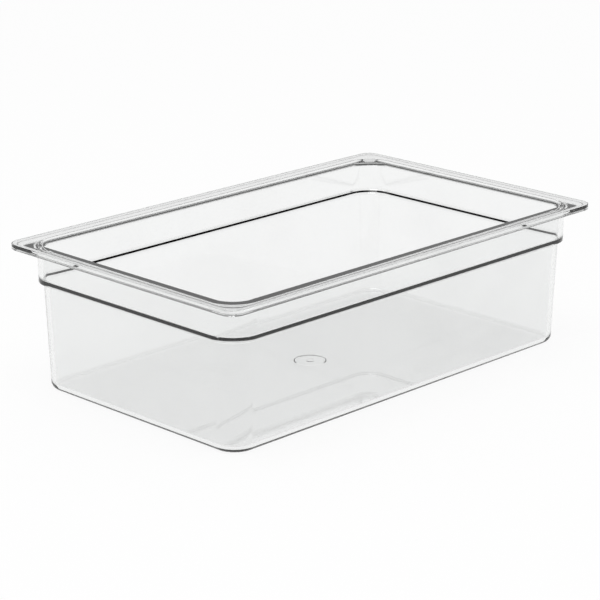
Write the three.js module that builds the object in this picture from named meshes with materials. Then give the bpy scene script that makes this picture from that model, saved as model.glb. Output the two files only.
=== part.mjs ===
// A clear full-size food pan: one moulding with a flat flange whose rim turns down, an upright
// band, a stacking shoulder, drafted walls and a filleted base.
// Millimetres, +Z up, origin under the middle of the base. X runs along the pan, Y across it.
import * as THREE from "three";

// Overall sizes, taken over the flange.
const LENGTH = 530;
const WIDTH = 325;
const HEIGHT = 152.4;

// Flange: its plate, the deeper rim that turns down along its edge, and its own, tighter, corners
// in plan, which tighten a little across the rim.
const FLANGE_PLATE = 4.5;
const FLANGE_CORNER_R = 15;
const RIM = 5.1;
const RIM_DRAFT = 0.5;
const RIM_DEPTH = 5.9;
const RIM_ROOT_R = 0.6;
const RIM_EDGE_R = 0.7;
const RIM_INNER = RIM + RIM_DRAFT;

// Upright band, from the flange down to the shoulder. Insets are measured in from the flange edge.
const BAND_INSET = 13;
const BAND_DRAFT = 0.6;
const BAND_CORNER_R = 31;
const BAND_WALL = 4.3;
const BAND_DEPTH = 39.3;
const MOUTH_R = 0.6;
const NECK_R = 5.9;

// Shoulder: the short ledge outside, and the sloping step inside, that a nested pan stands on.
const LEDGE = 4.7;
const LEDGE_DROP = 1.2;
const LEDGE_NOSE_R = 0.6;
const LEDGE_ROOT_R = 2.3;
const STEP_DRAFT = 0.2;
const STEP_TOP = 4.6;
const STEP_ROOT_R = 2.2;
const STEP_NOSE_R = 3.2;

// Lower walls and base. The plan corners tighten by less than the walls draw in.
const WALL = 3.7;
const WALL_DRAFT = 3.9;
const CORNER_TIGHTENING = 0.8;
const BASE = 3.8;
const BASE_OUTER_R = 7.5;
const BASE_INNER_R = 5.2;

// The round recess under the middle of the base, with the nub that the moulding gate leaves.
const GATE_R = 16;
const GATE_DEPTH = 1.2;
const GATE_FLARE = 1.2;
const NUB_R = 4;
const NUB_GAP = 0.4;

// How finely the curves are cut.
const CORNER_STEPS = 14;
const FILLET_STEP = Math.PI / 14;

const BAND_FOOT = HEIGHT - BAND_DEPTH;
const BAND_FOOT_INSET = BAND_INSET + BAND_DRAFT;
const WALL_TOP_INSET = BAND_FOOT_INSET + LEDGE;
const WALL_FOOT_INSET = WALL_TOP_INSET + WALL_DRAFT;

// One turn of the cross-section: how far in from the flange edge, how high, and the round it gets.
const turn = (inset, z, round = 0) => ({ at: new THREE.Vector2(inset, z), round });

// The outside of the section, from the flat of the base up to the top of the flange.
function outsideTurns() {
  return [
    turn(WALL_FOOT_INSET + BASE_OUTER_R + 1, 0),
    turn(WALL_FOOT_INSET, 0, BASE_OUTER_R),
    turn(WALL_TOP_INSET, BAND_FOOT - LEDGE_DROP, LEDGE_ROOT_R),
    turn(BAND_FOOT_INSET, BAND_FOOT, LEDGE_NOSE_R),
    turn(BAND_INSET, HEIGHT - FLANGE_PLATE, NECK_R),
    turn(RIM_INNER, HEIGHT - FLANGE_PLATE, RIM_ROOT_R),
    turn(RIM, HEIGHT - RIM_DEPTH, RIM_ROOT_R),
    turn(0, HEIGHT - RIM_DEPTH, RIM_EDGE_R),
    turn(0, HEIGHT, RIM_EDGE_R),
  ];
}

// The inside of the section, from the mouth down to the flat of the floor.
function insideTurns() {
  const floorInset = WALL_FOOT_INSET + WALL;
  return [
    turn(BAND_INSET + BAND_WALL, HEIGHT, MOUTH_R),
    turn(BAND_INSET + BAND_WALL + STEP_DRAFT, BAND_FOOT + STEP_TOP, STEP_ROOT_R),
    turn(WALL_TOP_INSET + WALL, BAND_FOOT, STEP_NOSE_R),
    turn(floorInset, BASE, BASE_INNER_R),
    turn(floorInset + BASE_INNER_R + 1, BASE),
  ];
}

// The points of an arc that rounds one turn, tangent to both of its sides.
function roundTurn(before, { at, round }, after) {
  const a = before.at.clone().sub(at).normalize();
  const b = after.at.clone().sub(at).normalize();
  const half = a.angleTo(b) / 2;
  const reach = round / Math.tan(half);
  const middle = a.clone().add(b).setLength(round / Math.sin(half)).add(at);
  const from = a.setLength(reach).add(at).sub(middle);
  const to = b.setLength(reach).add(at).sub(middle);
  const swing = Math.PI - 2 * half;
  const way = Math.sign(from.cross(to));
  const steps = Math.max(2, Math.ceil(swing / FILLET_STEP));
  const origin = new THREE.Vector2();
  return Array.from({ length: steps + 1 }, (_, i) =>
    from.clone().rotateAround(origin, (way * swing * i) / steps).add(middle),
  );
}

// The whole section as points, with every turn rounded.
function sectionPoints(turns) {
  return turns.flatMap((here, i) => {
    const isEnd = i === 0 || i === turns.length - 1;
    return isEnd || !here.round ? [here.at] : roundTurn(turns[i - 1], here, turns[i + 1]);
  });
}

// The plan corner radius at an inset: tight across the rim, then the band's, then tightening.
function cornerRadius(inset) {
  if (inset >= BAND_INSET) return BAND_CORNER_R - CORNER_TIGHTENING * (inset - BAND_INSET);
  if (inset <= RIM_INNER) return FLANGE_CORNER_R - CORNER_TIGHTENING * inset;
  const share = (inset - RIM_INNER) / (BAND_INSET - RIM_INNER);
  return THREE.MathUtils.lerp(FLANGE_CORNER_R - CORNER_TIGHTENING * RIM_INNER, BAND_CORNER_R, share);
}

// A level ring: a rectangle with round corners, run anticlockwise seen from above.
function ring(halfX, halfY, radius, z) {
  const corners = [
    [halfX - radius, halfY - radius],
    [radius - halfX, halfY - radius],
    [radius - halfX, radius - halfY],
    [halfX - radius, radius - halfY],
  ];
  return corners.flatMap(([x, y], quarter) =>
    Array.from({ length: CORNER_STEPS + 1 }, (_, i) => {
      const angle = (quarter + i / CORNER_STEPS) * (Math.PI / 2);
      return new THREE.Vector3(x + radius * Math.cos(angle), y + radius * Math.sin(angle), z);
    }),
  );
}

// The ring of the pan at one point of its section.
function panRing({ x: inset, y: z }) {
  return ring(LENGTH / 2 - inset, WIDTH / 2 - inset, cornerRadius(inset), z);
}

// The gate mark is round, so its ring is a rectangle that is all corner. Its seam points are kept
// a hair apart, which keeps every ring the same length.
function gateRing(radius, z) {
  const hair = 0.05;
  return ring(radius + hair, radius + hair, radius, z);
}

// A closed skin over a stack of rings, with a point in the middle of each end.
function skin(rings, startZ, endZ) {
  const count = rings[0].length;
  const points = [...rings.flat(), new THREE.Vector3(0, 0, startZ), new THREE.Vector3(0, 0, endZ)];
  const start = points.length - 2;
  const end = points.length - 1;
  const last = (rings.length - 1) * count;
  const index = [];
  for (let i = 0; i < count; i++) {
    const next = (i + 1) % count;
    index.push(start, next, i, end, last + i, last + next);
    for (let row = 0; row < last; row += count) {
      index.push(row + i, row + next, row + count + next);
      index.push(row + i, row + count + next, row + count + i);
    }
  }
  const geometry = new THREE.BufferGeometry().setFromPoints(points);
  geometry.setIndex(index);
  geometry.computeVertexNormals();
  return geometry;
}

function panGeometry() {
  const section = sectionPoints([...outsideTurns(), ...insideTurns()]);
  const gate = [
    gateRing(NUB_R, NUB_GAP),
    gateRing(NUB_R, GATE_DEPTH),
    gateRing(GATE_R, GATE_DEPTH),
    gateRing(GATE_R + GATE_FLARE, 0),
  ];
  return skin([...gate, ...section.map(panRing)], NUB_GAP, BASE);
}

const clear = new THREE.MeshStandardMaterial({
  color: 0xe6ebec,
  roughness: 0.06,
  metalness: 0,
  transparent: true,
  opacity: 0.35,
});

const pan = new THREE.Mesh(panGeometry(), clear);
pan.name = "pan";

const root = new THREE.Group();
root.name = "food_pan";
root.add(pan);

export default root;
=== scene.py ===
"""Looks for a clear full-size food pan: the moulding, its finish, and a plain pale studio."""

import logging
import math
from dataclasses import dataclass, field
from typing import Union

import bmesh
import bpy
from mathutils import Matrix, Vector


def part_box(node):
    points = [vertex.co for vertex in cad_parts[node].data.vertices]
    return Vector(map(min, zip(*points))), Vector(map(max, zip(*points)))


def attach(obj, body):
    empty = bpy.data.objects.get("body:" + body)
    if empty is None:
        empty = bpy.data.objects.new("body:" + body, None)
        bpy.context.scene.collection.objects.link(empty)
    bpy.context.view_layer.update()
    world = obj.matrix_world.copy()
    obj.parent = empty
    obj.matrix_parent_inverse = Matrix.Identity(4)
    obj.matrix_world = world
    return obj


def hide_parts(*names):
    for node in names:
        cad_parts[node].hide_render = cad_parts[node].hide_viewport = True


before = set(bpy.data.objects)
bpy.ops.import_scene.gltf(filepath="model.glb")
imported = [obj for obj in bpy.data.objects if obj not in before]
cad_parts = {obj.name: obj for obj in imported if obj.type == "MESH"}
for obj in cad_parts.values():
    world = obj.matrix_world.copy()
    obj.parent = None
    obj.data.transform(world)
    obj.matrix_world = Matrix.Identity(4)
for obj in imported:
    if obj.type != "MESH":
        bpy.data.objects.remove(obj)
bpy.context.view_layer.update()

MM = 0.001

Colour = tuple[float, float, float, float]
WHITE: Colour = (1, 1, 1, 1)

# Sockets of the Mix node in colour mode, whose names repeat between its modes.
MIX_COLOUR_A = 6
MIX_COLOUR_B = 7
MIX_COLOUR_RESULT = 2

log = logging.getLogger("food_pan")


# ---------------------------------------------------------------------------- shader helpers


class Socket:
    """A shader value that takes part in Python arithmetic by adding Math nodes."""

    def __init__(self, tree: "ShaderTree", output: bpy.types.NodeSocket) -> None:
        """Wraps one output.

        Args:
            tree: The tree that the output belongs to.
            output: The node output that carries the value.
        """
        self.tree = tree
        self.output = output

    def _math(self, operation: str, *operands: "Operand") -> "Socket":
        """Adds one Math node.

        Args:
            operation: The Math node's operation.
            *operands: Its inputs, in order.

        Returns:
            The node's result.
        """
        values = dict(enumerate(operands))
        return self.tree.value("ShaderNodeMath", {"operation": operation}, values)

    def __add__(self, other: "Operand") -> "Socket":
        """Adds."""
        return self._math("ADD", self, other)

    def __sub__(self, other: "Operand") -> "Socket":
        """Takes away."""
        return self._math("SUBTRACT", self, other)

    def __rsub__(self, other: "Operand") -> "Socket":
        """Takes this value from a number."""
        return self._math("SUBTRACT", other, self)

    def __mul__(self, other: "Operand") -> "Socket":
        """Multiplies."""
        return self._math("MULTIPLY", self, other)

    def larger(self, other: "Operand") -> "Socket":
        """Gives the larger of two values."""
        return self._math("MAXIMUM", self, other)

    def ramp(self, low: float, high: float) -> "Socket":
        """Rises smoothly from 0 to 1.

        Args:
            low: The value at which the result leaves 0.
            high: The value at which it reaches 1.

        Returns:
            The smooth step.
        """
        settings = {"interpolation_type": "SMOOTHSTEP"}
        values = {"Value": self, "From Min": low, "From Max": high}
        return self.tree.value("ShaderNodeMapRange", settings, values)


Operand = Union[Socket, bpy.types.NodeSocket, float, tuple]


class ShaderTree:
    """A node tree that is emptied and then filled node by node."""

    def __init__(self, tree: bpy.types.NodeTree) -> None:
        """Empties the tree.

        Args:
            tree: A material's or a world's node tree.
        """
        self.tree = tree
        tree.nodes.clear()

    def add(self, kind: str, settings: dict, values: dict) -> bpy.types.Node:
        """Adds a node, sets it up and fills its inputs.

        Args:
            kind: The node's type name.
            settings: Attributes, set before the inputs are.
            values: Inputs by name or index, each a number, a tuple, an output or a Socket.

        Returns:
            The new node.
        """
        node = self.tree.nodes.new(kind)
        for name, value in settings.items():
            setattr(node, name, value)
        for key, value in values.items():
            source = value.output if isinstance(value, Socket) else value
            if isinstance(source, bpy.types.NodeSocket):
                self.tree.links.new(source, node.inputs[key])
            else:
                node.inputs[key].default_value = source
        return node

    def value(self, kind: str, settings: dict, values: dict, output: Union[str, int] = 0) -> Socket:
        """Adds a node and hands back one of its outputs.

        Args:
            kind: The node's type name.
            settings: Attributes, set before the inputs are.
            values: Inputs by name or index.
            output: The output's name or index.

        Returns:
            That output, ready for arithmetic.
        """
        return Socket(self, self.add(kind, settings, values).outputs[output])


# ---------------------------------------------------------------------------- modelling helpers


def deselect_all() -> None:
    """Leaves object mode with nothing selected."""
    if bpy.context.object and bpy.context.object.mode != "OBJECT":
        bpy.ops.object.mode_set(mode="OBJECT")
    bpy.ops.object.select_all(action="DESELECT")


def apply_modifier(piece: bpy.types.Object, kind: str, settings: dict) -> None:
    """Adds a modifier to a piece and applies it.

    Args:
        piece: The object to change.
        kind: The modifier's type.
        settings: Its attributes.
    """
    deselect_all()
    piece.select_set(True)
    bpy.context.view_layer.objects.active = piece
    modifier = piece.modifiers.new(kind.lower(), kind)
    for name, value in settings.items():
        setattr(modifier, name, value)
    bpy.ops.object.modifier_apply(modifier=modifier.name)


# ---------------------------------------------------------------------------- the pan


@dataclass(frozen=True)
class Turn:
    """One corner of the pan's cross-section, and the round it gets."""

    inset: float
    height: float
    round: float = 0.0
    steps: int = 8

    def at(self) -> Vector:
        """Gives the corner's place in the section."""
        return Vector((self.inset, self.height))

    def rounded(self, before: "Turn", after: "Turn") -> list[Vector]:
        """Rounds the corner with an arc that is tangent to both of its sides.

        Args:
            before: The corner before it.
            after: The corner after it.

        Returns:
            Points along the arc, each an inset and a height.
        """
        a = (before.at() - self.at()).normalized()
        b = (after.at() - self.at()).normalized()
        half = a.angle(b) / 2
        centre = self.at() + (a + b).normalized() * (self.round / math.sin(half))
        start = self.at() + a * (self.round / math.tan(half)) - centre
        end = self.at() + b * (self.round / math.tan(half)) - centre
        swing = -start.angle_signed(end)
        turns = (Matrix.Rotation(swing * step / self.steps, 2) for step in range(self.steps + 1))
        return [centre + turn @ start for turn in turns]


@dataclass
class PanMoulding:
    """The whole pan: flange with its rim, upright band, stacking shoulder, drafted walls and base.

    Insets run inwards from the flange's edge, and rounds are named for the corner they soften.
    """

    flange_plate: float = 4.5 * MM
    flange_corner: float = 15 * MM
    rim: float = 5.1 * MM
    rim_draft: float = 0.5 * MM
    rim_tightening: float = 0.8
    rim_depth: float = 5.9 * MM
    rim_root_round: float = 0.6 * MM
    rim_foot_round: float = 0.7 * MM
    rim_top_round: float = 0.7 * MM
    band_inset: float = 13 * MM
    band_draft: float = 0.6 * MM
    band_corner: float = 31 * MM
    band_wall: float = 4.3 * MM
    band_depth: float = 39.3 * MM
    mouth_round: float = 0.6 * MM
    neck_round: float = 5.9 * MM
    ledge: float = 4.7 * MM
    ledge_drop: float = 1.2 * MM
    ledge_nose_round: float = 0.6 * MM
    ledge_root_round: float = 2.3 * MM
    step_draft: float = 0.2 * MM
    step_top: float = 4.6 * MM
    step_nose_round: float = 3.2 * MM
    step_root_round: float = 2.2 * MM
    wall: float = 3.7 * MM
    wall_draft: float = 3.9 * MM
    corner_tightening: float = 0.8
    base: float = 3.8 * MM
    base_outer_round: float = 7.5 * MM
    base_inner_round: float = 5.2 * MM
    gate_radius: float = 16 * MM
    gate_depth: float = 1.2 * MM
    nub_radius: float = 4 * MM
    nub_depth: float = 0.4 * MM
    gate_flare: float = 1.2 * MM
    corner_steps: int = 24
    base_round_steps: int = 14
    mouth_round_steps: int = 12
    rim_edge_steps: int = 5
    rim_root_steps: int = 4
    gate_sides: int = 64
    nub_sides: int = 48
    weld_distance: float = 0.001 * MM
    smooth_angle: float = math.radians(35)
    flat_face_weight: int = 100
    half: Vector = field(init=False)
    height: float = field(init=False)

    def __post_init__(self) -> None:
        """Takes the overall sizes from the frame."""
        low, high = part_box("pan")
        self.half = (high - low) / 2
        self.height = high.z

    def turns(self) -> list[Turn]:
        """Lists the section's corners, from under the base, over the flange, to the floor inside.

        Returns:
            The corners in order, with a flat end at each end.
        """
        top = self.height
        foot = top - self.band_depth
        foot_inset = self.band_inset + self.band_draft
        wall_top = foot_inset + self.ledge
        wall_foot = wall_top + self.wall_draft
        ledge_low = foot - self.ledge_drop
        mouth = self.band_inset + self.band_wall
        plate_low = top - self.flange_plate
        rim_low = top - self.rim_depth
        return [
            Turn(self.half.y, 0),
            Turn(wall_foot, 0, self.base_outer_round, self.base_round_steps),
            Turn(wall_top, ledge_low, self.ledge_root_round),
            Turn(foot_inset, foot, self.ledge_nose_round),
            Turn(self.band_inset, plate_low, self.neck_round),
            Turn(self.rim + self.rim_draft, plate_low, self.rim_root_round, self.rim_root_steps),
            Turn(self.rim, rim_low, self.rim_root_round, self.rim_root_steps),
            Turn(0, rim_low, self.rim_foot_round, self.rim_edge_steps),
            Turn(0, top, self.rim_top_round, self.rim_edge_steps),
            Turn(mouth, top, self.mouth_round, self.mouth_round_steps),
            Turn(mouth + self.step_draft, foot + self.step_top, self.step_root_round),
            Turn(wall_top + self.wall, foot, self.step_nose_round),
            Turn(wall_foot + self.wall, self.base, self.base_inner_round, self.base_round_steps),
            Turn(self.half.y, self.base),
        ]

    def section(self) -> list[Vector]:
        """Gives the whole section with every corner rounded.

        Returns:
            Points along it, each an inset from the flange's edge and a height.
        """
        turns = self.turns()
        inner = range(1, len(turns) - 1)
        return [point for i in inner for point in turns[i].rounded(turns[i - 1], turns[i + 1])]

    def corner_radius(self, inset: float) -> float:
        """Gives the plan corner radius at an inset from the flange's edge.

        Args:
            inset: How far in the outline is.

        Returns:
            The radius: tight at the rim, widening to the band's, then tightening down the walls.
        """
        if inset >= self.band_inset:
            return self.band_corner - self.corner_tightening * (inset - self.band_inset)
        edge = self.rim + self.rim_draft
        if inset <= edge:
            return self.flange_corner - self.rim_tightening * inset
        share = (inset - edge) / (self.band_inset - edge)
        corner = self.flange_corner - self.rim_tightening * edge
        return corner * (1 - share) + self.band_corner * share

    def add_outline(self, index: int, inset: float, keep_face: bool) -> None:
        """Adds one outline: a plane at its size, with its corners rounded, stacked on the last.

        Outlines are stacked evenly at first, because two at one height don't bridge cleanly.

        Args:
            index: The outline's number, kept on its vertices.
            inset: How far in it is from the flange's edge.
            keep_face: Whether its face stays, as the base's and the floor's do.
        """
        place = (0, 0, index * MM)
        bpy.ops.mesh.select_all(action="DESELECT")
        bpy.ops.mesh.primitive_plane_add(size=2, location=place)
        size = (self.half.x - inset, self.half.y - inset, 1)
        bpy.ops.transform.resize(value=size, center_override=place)
        radius = self.corner_radius(inset)
        bpy.ops.mesh.bevel(affect="VERTICES", offset=radius, segments=self.corner_steps)
        mesh = bpy.context.object.data
        solid = bmesh.from_edit_mesh(mesh)
        mark = solid.verts.layers.int["outline"]
        for vertex in solid.verts:
            if vertex.select:
                vertex[mark] = index
        bmesh.update_edit_mesh(mesh)
        if not keep_face:
            bpy.ops.mesh.delete(type="ONLY_FACE")

    def bridge(self, lower: int) -> None:
        """Joins an outline to the next one with a band of faces.

        Args:
            lower: The first outline's number.
        """
        bpy.ops.mesh.select_all(action="DESELECT")
        mesh = bpy.context.object.data
        solid = bmesh.from_edit_mesh(mesh)
        mark = solid.verts.layers.int["outline"]
        for edge in solid.edges:
            if {vertex[mark] for vertex in edge.verts} in ({lower}, {lower + 1}):
                edge.select_set(True)
        bmesh.update_edit_mesh(mesh)
        bpy.ops.mesh.bridge_edge_loops()

    def settle(self, heights: list[float]) -> None:
        """Moves the stacked outlines to their own heights.

        Args:
            heights: The height of each outline, in order.
        """
        mesh = bpy.context.object.data
        solid = bmesh.from_edit_mesh(mesh)
        mark = solid.verts.layers.int["outline"]
        for vertex in solid.verts:
            vertex.co.z = heights[vertex[mark]]
        bmesh.update_edit_mesh(mesh)

    def build(self) -> bpy.types.Object:
        """Models the moulding as one closed solid.

        Returns:
            The pan's object, whose mesh is already in the pan's own frame.
        """
        deselect_all()
        bpy.ops.mesh.primitive_plane_add(size=1, location=(0, 0, 0))
        piece = bpy.context.object
        piece.name = "pan_moulding"
        bpy.ops.object.mode_set(mode="EDIT")
        bpy.ops.mesh.delete(type="VERT")
        bmesh.from_edit_mesh(piece.data).verts.layers.int.new("outline")
        section = self.section()
        last = len(section) - 1
        for index, point in enumerate(section):
            self.add_outline(index, point.x, keep_face=index in (0, last))
        for index in range(last):
            self.bridge(index)
        self.settle([point.y for point in section])
        bpy.ops.mesh.select_all(action="SELECT")
        bpy.ops.mesh.remove_doubles(threshold=self.weld_distance)
        bpy.ops.mesh.normals_make_consistent(inside=False)
        bpy.ops.object.mode_set(mode="OBJECT")
        piece.data.attributes.remove(piece.data.attributes["outline"])
        self.cut_gate_mark(piece)
        self.smooth(piece)
        return piece

    def cut_gate_mark(self, piece: bpy.types.Object) -> None:
        """Cuts the gate's round recess under the middle of the base, and leaves its nub standing.

        Args:
            piece: The pan.
        """
        deselect_all()
        over = self.gate_depth
        bpy.ops.mesh.primitive_cone_add(
            vertices=self.gate_sides,
            radius1=self.gate_radius + 2 * self.gate_flare,
            radius2=self.gate_radius,
            depth=self.gate_depth + over,
            location=(0, 0, (self.gate_depth - over) / 2),
        )
        cutter = bpy.context.object
        deselect_all()
        bpy.ops.mesh.primitive_cylinder_add(
            vertices=self.nub_sides,
            radius=self.nub_radius,
            depth=2 * self.gate_depth,
            location=(0, 0, self.nub_depth + self.gate_depth),
        )
        nub = bpy.context.object
        apply_modifier(cutter, "BOOLEAN", {"object": nub, "operation": "DIFFERENCE"})
        apply_modifier(piece, "BOOLEAN", {"object": cutter, "operation": "DIFFERENCE"})
        bpy.data.objects.remove(nub)
        bpy.data.objects.remove(cutter)

    def smooth(self, piece: bpy.types.Object) -> None:
        """Smooths the rounds and keeps the flat faces flat.

        Args:
            piece: The pan.
        """
        deselect_all()
        piece.select_set(True)
        bpy.context.view_layer.objects.active = piece
        bpy.ops.object.shade_smooth_by_angle(angle=self.smooth_angle)
        settings = {"keep_sharp": True, "weight": self.flat_face_weight}
        apply_modifier(piece, "WEIGHTED_NORMAL", settings)


# ---------------------------------------------------------------------------- finishes


@dataclass(frozen=True)
class ClearPolycarbonate:
    """Water-white polycarbonate: polished, with faint clouds where it is duller and greyer."""

    tint: Colour = (0.925, 0.93, 0.928, 1)
    haze_tint: Colour = (0.90, 0.905, 0.903, 1)
    index: float = 1.585
    haze: float = 0.02
    cloud_scale: float = 9.0
    cloud_detail: float = 3.0
    cloud_start: float = 0.45
    cloud_full: float = 0.8

    def build(self) -> bpy.types.Material:
        """Makes the material.

        Returns:
            The clear plastic.
        """
        material = bpy.data.materials.new("clear_polycarbonate")
        material.use_nodes = True
        tree = ShaderTree(material.node_tree)
        place = tree.value("ShaderNodeTexCoord", {}, {}, "Object")
        noise = {"Vector": place, "Scale": self.cloud_scale, "Detail": self.cloud_detail}
        cloud = tree.value("ShaderNodeTexNoise", {}, noise, "Fac")
        clouded = cloud.ramp(self.cloud_start, self.cloud_full)
        colours = {"Factor": clouded, MIX_COLOUR_A: self.tint, MIX_COLOUR_B: self.haze_tint}
        colour = tree.value("ShaderNodeMix", {"data_type": "RGBA"}, colours, MIX_COLOUR_RESULT)
        plastic = tree.add(
            "ShaderNodeBsdfPrincipled",
            {},
            {
                "Base Color": colour,
                "Roughness": clouded * self.haze,
                "IOR": self.index,
                "Transmission Weight": 1.0,
            },
        )
        tree.add("ShaderNodeOutputMaterial", {}, {"Surface": plastic.outputs[0]})
        return material


# ---------------------------------------------------------------------------- studio


@dataclass(frozen=True)
class Studio:
    """A pale floor under soft light, with a dark ceiling that gives clear edges their dark lines.

    The horizon and the ceiling are pairs of sines of elevations, where the sky starts to change
    and where it has changed.
    """

    floor_size: float = 12.0
    floor_gap: float = 0.4 * MM
    floor_colour: Colour = (0.92, 0.92, 0.92, 1)
    floor_glow: float = 0.92
    sky_pale: float = 0.68
    sky_dark: float = 0.05
    horizon: tuple[float, float] = (math.sin(math.radians(9)), math.sin(math.radians(13)))
    ceiling: tuple[float, float] = (math.sin(math.radians(30)), math.sin(math.radians(38)))
    light_level: float = 0.75
    lamp_size: tuple[float, float] = (1.2, 0.9)
    lamp_power: float = 12
    lamp_place: tuple[float, float, float] = (-0.5, -0.2, 2.0)

    def ray_kinds(self, tree: ShaderTree) -> tuple[Socket, Socket]:
        """Tells the rays that look at the studio from the ones that only carry its light.

        Args:
            tree: The tree to add to.

        Returns:
            1 for rays straight from the camera, and 1 for rays that the plastic reflects or bends.
        """
        path = tree.add("ShaderNodeLightPath", {}, {})
        camera = Socket(tree, path.outputs["Is Camera Ray"])
        glossy = Socket(tree, path.outputs["Is Glossy Ray"])
        return camera, glossy.larger(path.outputs["Is Transmission Ray"])

    def floor_material(self) -> bpy.types.Material:
        """Makes the floor's white, which keeps a faint shadow.

        Returns:
            The material.
        """
        material = bpy.data.materials.new("studio_floor")
        material.use_nodes = True
        tree = ShaderTree(material.node_tree)
        matte = tree.add("ShaderNodeBsdfDiffuse", {}, {"Color": self.floor_colour})
        glow = tree.add("ShaderNodeEmission", {}, {"Color": WHITE, "Strength": 1.0})
        camera, bent = self.ray_kinds(tree)
        share = camera.larger(bent) * self.floor_glow
        shaders = {0: share, 1: matte.outputs[0], 2: glow.outputs[0]}
        mix = tree.add("ShaderNodeMixShader", {}, shaders)
        tree.add("ShaderNodeOutputMaterial", {}, {"Surface": mix.outputs[0]})
        return material

    def build_floor(self) -> bpy.types.Object:
        """Lays the floor.

        Returns:
            The floor's object.
        """
        deselect_all()
        bpy.ops.mesh.primitive_plane_add(size=self.floor_size, location=(0, 0, -self.floor_gap))
        floor = bpy.context.object
        floor.name = "studio_floor"
        floor.data.materials.append(self.floor_material())
        return floor

    def build_world(self) -> None:
        """Makes a sky that is white to the camera and even light to the floor.

        Rays through or off the plastic meet a white horizon, then a pale sky, then a dark ceiling.
        """
        world = bpy.data.worlds.new("studio")
        bpy.context.scene.world = world
        world.use_nodes = True
        tree = ShaderTree(world.node_tree)
        camera, bent = self.ray_kinds(tree)
        direction = tree.value("ShaderNodeTexCoord", {}, {}, "Generated")
        split = tree.add("ShaderNodeSeparateXYZ", {}, {0: direction})
        height = Socket(tree, split.outputs["Z"])
        low = height.ramp(*self.horizon) * (1 - self.sky_pale)
        high = height.ramp(*self.ceiling) * (self.sky_pale - self.sky_dark)
        sky = 1 - low - high
        other = (1 - camera) * (1 - bent)
        level = camera + (1 - camera) * bent * sky + other * self.light_level
        back = tree.add("ShaderNodeBackground", {}, {"Color": WHITE, "Strength": level})
        tree.add("ShaderNodeOutputWorld", {}, {"Surface": back.outputs[0]})

    def build_lamp(self) -> None:
        """Hangs one broad soft lamp over the pan and points it at the pan's foot."""
        lamp = bpy.data.lights.new("soft_lamp", "AREA")
        lamp.shape = "RECTANGLE"
        lamp.size, lamp.size_y = self.lamp_size
        lamp.energy = self.lamp_power
        holder = bpy.data.objects.new("soft_lamp", lamp)
        holder.location = self.lamp_place
        holder.rotation_euler = Vector(self.lamp_place).to_track_quat("Z", "Y").to_euler()
        bpy.context.scene.collection.objects.link(holder)


@dataclass(frozen=True)
class Viewpoint:
    """The camera, aimed at a point in the pan from an azimuth and an elevation."""

    azimuth: float = math.radians(-45.49)
    elevation: float = math.radians(17.63)
    distance: float = 2.301
    aim: tuple[float, float, float] = (0, 0.0128, 0.06559)
    lens: float = 132.70
    reach: float = 100.0

    def build(self) -> None:
        """Makes the camera and sets it as the scene's."""
        level = math.cos(self.elevation)
        east, south = math.sin(self.azimuth) * level, math.cos(self.azimuth) * level
        back = Vector((east, -south, math.sin(self.elevation)))
        camera = bpy.data.cameras.new("camera")
        camera.lens = self.lens
        camera.clip_end = self.reach
        holder = bpy.data.objects.new("camera", camera)
        holder.location = Vector(self.aim) + back * self.distance
        holder.rotation_euler = back.to_track_quat("Z", "Y").to_euler()
        bpy.context.scene.collection.objects.link(holder)
        bpy.context.scene.camera = holder


def main() -> None:
    """Builds the pan and the studio, and reports the pan's face count."""
    logging.basicConfig(level=logging.INFO, format="%(name)s: %(message)s")
    bpy.context.scene.view_settings.view_transform = "Standard"
    Viewpoint().build()
    pan = PanMoulding().build()
    pan.data.materials.append(ClearPolycarbonate().build())
    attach(pan, "root")
    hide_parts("pan")
    log.info("%s: %d faces", pan.name, len(pan.data.polygons))
    studio = Studio()
    studio.build_floor()
    studio.build_world()
    studio.build_lamp()


if __name__ == "__main__":
    main()
